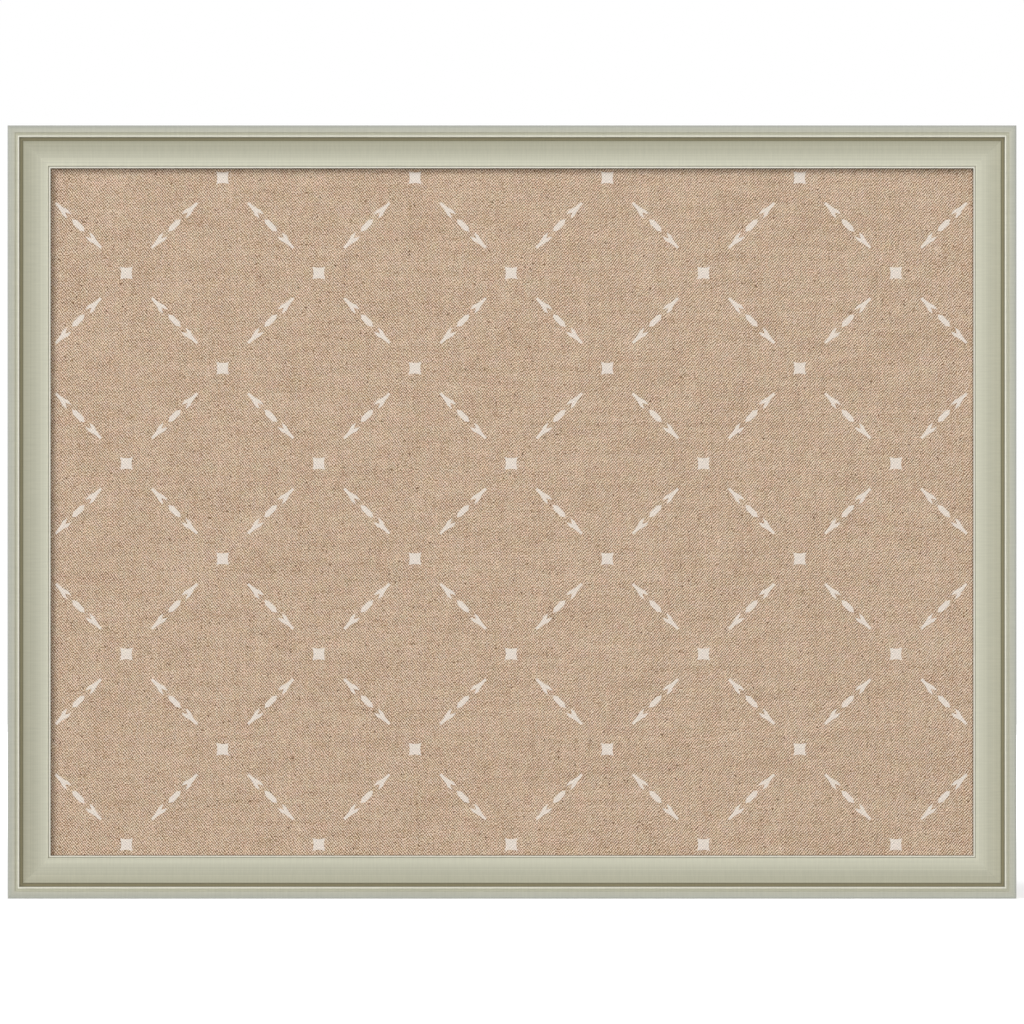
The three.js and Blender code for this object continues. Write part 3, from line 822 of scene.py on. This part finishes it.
def cloth_mesh(half, depth, front):
    """Rings of points from the middle of the cloth's outside, over its cut edge, to that of its inside."""
    outside = cloth_section(depth, 0.0)
    section = outside + cloth_section(depth, CLOTH_THICKNESS)[::-1]
    made = bmesh.new()
    rings = []
    for inward, deep in section:
        points = cloth_row(half, inward, deep > depth / 2)
        rings.append([made.verts.new((x, front + deep + lift, z)) for x, z, lift in points])
    flat = made.loops.layers.uv.new("cloth")
    bake = made.loops.layers.uv.new("OFBake")

    def lay(loop, spot, is_inside):
        loop[flat].uv = spot
        loop[bake].uv = on_map(loop[flat].uv, is_inside)

    gone = travel(section)
    sides = row_sides(half)
    for row, (ring, following) in enumerate(zip(rings, rings[1:])):
        for this, side in enumerate(sides):
            after = (this + 1) % len(sides)
            face = made.faces.new((ring[this], ring[after], following[after], following[this]))
            face.smooth = True
            for loop, reach in zip(face.loops, (row, row, row + 1, row + 1)):
                lay(loop, laid_flat(loop.vert.co, side, half, gone[reach]), row >= len(outside))
    for ring in (rings[0], rings[-1]):
        for loop in made.faces.new(ring).loops:
            lay(loop, (loop.vert.co.x, loop.vert.co.z), ring is rings[-1])
    bmesh.ops.recalc_face_normals(made, faces=made.faces)
    mesh = bpy.data.meshes.new("linen_cover")
    made.to_mesh(mesh)
    made.free()
    return mesh


def linen_cover(material):
    """Linen stretched over the panel, turned in behind it and folded at the corners."""
    low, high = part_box("fabric_cover")
    half, depth = (high.x, high.z), high.y - low.y
    mesh = cloth_mesh(half, depth, low.y)
    mesh.materials.append(material)
    piece = put_in_scene("linen_cover", mesh)
    edge_length = depth + TURN_IN
    cut = (2 * (half[0] + edge_length), 2 * (half[1] + edge_length))
    corner_cut = edge_length * edge_length / 2
    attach(piece, "board")
    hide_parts("fabric_cover")
    cut[0] * cut[1] - 4 * corner_cut


def floor():
    """A plain pale floor under the board: white to the eye, whiter far off, with a dimmer bounce."""
    height = SOLID_BOX[0].z
    corners = [(-1, -1), (1, -1), (1, 1), (-1, 1)]
    mesh = bpy.data.meshes.new("floor")
    mesh.from_pydata([(x * FLOOR_HALF, y * FLOOR_HALF, height) for x, y in corners], [], [(0, 1, 2, 3)])
    paint = new_paint("floor")
    bounce = paint.add("BsdfDiffuse", {"Color": FLOOR_BOUNCE})
    matt = paint.add("BsdfDiffuse", {"Color": FLOOR_SEEN})
    x, y, _ = paint.place()
    far = ((x ** 2.0 + y ** 2.0) ** 0.5).ramp(*GLOW_RISE)
    glow = paint.add("Emission", {"Color": WHITE, "Strength": FLOOR_GLOW + (1.0 - FLOOR_GLOW) * far})
    bright = paint.add("AddShader", {0: matt, 1: glow})
    surface = paint.add("MixShader", {0: paint.seen(), 1: bounce, 2: bright})
    paint.feed(paint.tree.nodes["Material Output"].inputs["Surface"], surface)
    mesh.materials.append(paint.owner)
    put_in_scene("floor", mesh)


def backdrop():
    """White to the eye and to gloss, and a low even light on everything else."""
    world = bpy.data.worlds.new("studio")
    bpy.context.scene.world = world
    paint = Paint(world)
    dim = paint.add("Background", {"Color": WHITE, "Strength": SKY})
    bright = paint.add("Background", {"Color": WHITE, "Strength": 1.0})
    surface = paint.add("MixShader", {0: paint.seen(), 1: dim, 2: bright})
    paint.feed(paint.tree.nodes["World Output"].inputs["Surface"], surface)


def lamp(name, place, size, power):
    """A soft square lamp turned to the board, which gloss doesn't show."""
    light = bpy.data.lights.new(name, "AREA")
    light.shape = "SQUARE"
    light.size = size
    light.energy = power
    holder = put_in_scene(name, light)
    holder.location = place
    holder.visible_glossy = False
    holder.rotation_mode = "QUATERNION"
    holder.rotation_quaternion = (-Vector(place)).to_track_quat("-Z", "Y")


def camera():
    """Square on to the board, from so far off that its sides run parallel."""
    data = bpy.data.cameras.new("camera")
    data.sensor_width = SENSOR
    data.lens = LENS
    holder = put_in_scene("camera", data)
    holder.location = (0.0, FACE - VIEW_WIDTH * LENS / SENSOR, 0.0)
    holder.rotation_euler = (math.pi / 2, 0.0, 0.0)
    bpy.context.scene.camera = holder


bpy.context.scene.view_settings.view_transform = "Standard"
# The denoiser's own pre-filter would smooth the weave away
bpy.context.scene.cycles.denoising_prefilter = "NONE"
camera()
backdrop()
floor()
lamp("key", KEY_PLACE, KEY_SIZE, KEY_POWER)
lamp("fill", FILL_PLACE, FILL_SIZE, FILL_POWER)
lamp("back", BACK_PLACE, BACK_SIZE, BACK_POWER)
dress_solids()
linen_cover(linen())
